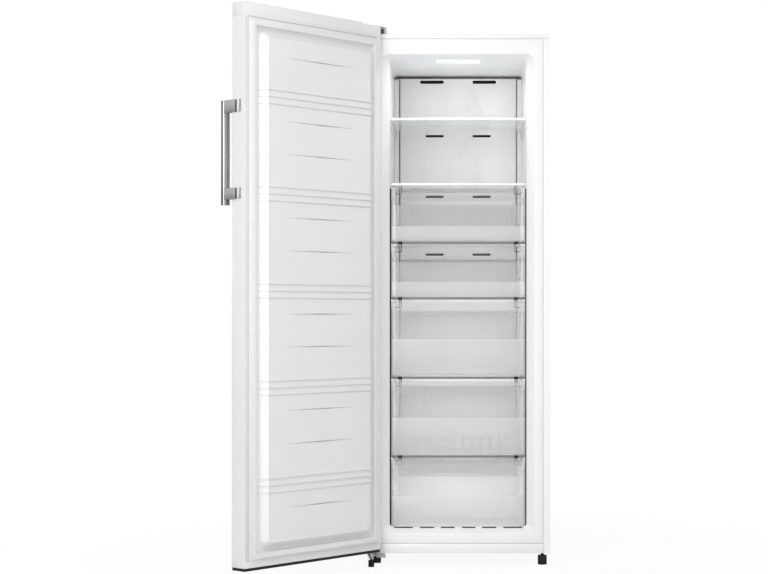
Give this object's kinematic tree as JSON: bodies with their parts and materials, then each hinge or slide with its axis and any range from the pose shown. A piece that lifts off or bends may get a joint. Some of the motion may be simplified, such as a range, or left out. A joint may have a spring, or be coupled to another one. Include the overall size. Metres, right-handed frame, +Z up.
{
  "type": "upright freezer",
  "caption": "Tall upright freezer with a hinged ribbed door, glass shelves, clear pull-out drawers, a rear air duct with fan, bar handle and levelling feet.",
  "frame": {"origin": "centre of the cabinet's footprint on the floor", "axes": "+Z up; the front faces -Y; +X to the viewer's right, so the door hinges at -X"},
  "size_m": [1.0074, 1.0788, 1.742],
  "materials": {
    "white_painted_sheet": "gloss white enamel",
    "galvanised_sheet": "dull galvanised",
    "white_plastic": "satin white moulding",
    "insulating_foam": "rigid closed-cell foam",
    "shelf_glass": "clear toughened glass",
    "clear_plastic": "clear frosted moulding",
    "black_plastic": "satin black moulding",
    "grey_plastic": "satin grey moulding",
    "hinge_steel": "plated steel",
    "coil_aluminium": "mill finish",
    "black_painted_steel": "satin black paint",
    "black_rubber": "matt",
    "seal_rubber": "soft white seal",
    "handle_metal": "satin silver"
  },
  "bodies": {
    "cabinet": {"left_side_panel": "white_painted_sheet", "right_side_panel": "white_painted_sheet", "top_cover": "white_plastic", "back_panel": "white_painted_sheet", "bottom_front_rail": "white_painted_sheet", "base_pan": "galvanised_sheet", "inner_liner": "white_plastic", "cabinet_foam": "insulating_foam", "shelf_1": "shelf_glass", "shelf_2": "shelf_glass", "shelf_3": "shelf_glass", "shelf_4": "shelf_glass", "shelf_5": "shelf_glass", "shelf_6": "shelf_glass", "shelf_trims": "white_plastic", "shelf_rails": "white_plastic", "shelf_clips": "grey_plastic", "duct_cover": "white_plastic", "duct_foam": "insulating_foam", "fan_shroud": "black_plastic", "fan_motor": "black_plastic", "evaporator_fins": "coil_aluminium", "evaporator_coil": "coil_aluminium", "defrost_heater": "coil_aluminium", "drain_gutter": "grey_plastic", "lamp_cover": "clear_plastic", "lamp_board": "grey_plastic", "compressor_plate": "galvanised_sheet", "compressor": "black_painted_steel", "compressor_grommets": "black_rubber", "terminal_cover": "black_plastic", "drain_tray": "black_plastic", "control_box": "black_plastic", "bay_cover": "galvanised_sheet", "mains_gland": "black_plastic", "hinge_support_block": "black_plastic", "top_hinge": "hinge_steel", "hinge_cover": "white_plastic", "lower_hinge": "hinge_steel"},
    "door": {"door_skin": "white_painted_sheet", "door_top_cap": "white_plastic", "door_bottom_cap": "white_plastic", "door_bottom_trim": "black_plastic", "door_foam": "insulating_foam", "door_liner": "white_plastic", "door_gasket": "seal_rubber", "hinge_bushes": "grey_plastic", "handle_bar": "handle_metal", "handle_brackets": "handle_metal", "handle_caps": "white_plastic"},
    "drawer_1": {"drawer_1": "clear_plastic"},
    "drawer_2": {"drawer_2": "clear_plastic"},
    "drawer_3": {"drawer_3": "clear_plastic"},
    "drawer_4": {"drawer_4": "clear_plastic"},
    "drawer_5": {"drawer_5": "clear_plastic"},
    "fan": {"fan_rotor": "grey_plastic"},
    "right_front_foot_body": {"right_front_foot": "black_plastic"},
    "left_front_foot_body": {"left_front_foot": "black_plastic"},
    "left_rear_roller_body": {"left_rear_roller": "black_plastic"},
    "right_rear_roller_body": {"right_rear_roller": "black_plastic"}
  },
  "joints": [
    {"name": "door_hinge", "type": "hinge", "parent": "cabinet", "child": "door", "pos_m": [-0.2797, -0.3275, 0.9], "axis": [0, 0, -1], "range_deg": [-130, 5]},
    {"name": "drawer_1_slide", "type": "slide", "parent": "cabinet", "child": "drawer_1", "axis": [0, -1, 0], "range_m": [0, 0.3]},
    {"name": "drawer_2_slide", "type": "slide", "parent": "cabinet", "child": "drawer_2", "axis": [0, -1, 0], "range_m": [0, 0.3]},
    {"name": "drawer_3_slide", "type": "slide", "parent": "cabinet", "child": "drawer_3", "axis": [0, -1, 0], "range_m": [0, 0.3]},
    {"name": "drawer_4_slide", "type": "slide", "parent": "cabinet", "child": "drawer_4", "axis": [0, -1, 0], "range_m": [0, 0.3]},
    {"name": "drawer_5_slide", "type": "slide", "parent": "cabinet", "child": "drawer_5", "axis": [0, -1, 0], "range_m": [0, 0.21]},
    {"name": "fan_spin", "type": "hinge", "parent": "cabinet", "child": "fan", "pos_m": [0, 0.1685, 0.69], "axis": [0, 1, 0], "continuous": true},
    {"name": "right_front_foot_turn", "type": "hinge", "parent": "cabinet", "child": "right_front_foot_body", "pos_m": [0.274, -0.2515, 0.015], "axis": [0, 0, 1], "continuous": true},
    {"name": "left_front_foot_turn", "type": "hinge", "parent": "cabinet", "child": "left_front_foot_body", "pos_m": [-0.2797, -0.3135, 0.011], "axis": [0, 0, 1], "continuous": true},
    {"name": "left_rear_roller_spin", "type": "hinge", "parent": "cabinet", "child": "left_rear_roller_body", "pos_m": [-0.245, 0.2515, 0.02], "axis": [1, 0, 0], "continuous": true},
    {"name": "right_rear_roller_spin", "type": "hinge", "parent": "cabinet", "child": "right_rear_roller_body", "pos_m": [0.245, 0.2515, 0.02], "axis": [1, 0, 0], "continuous": true}
  ]
}
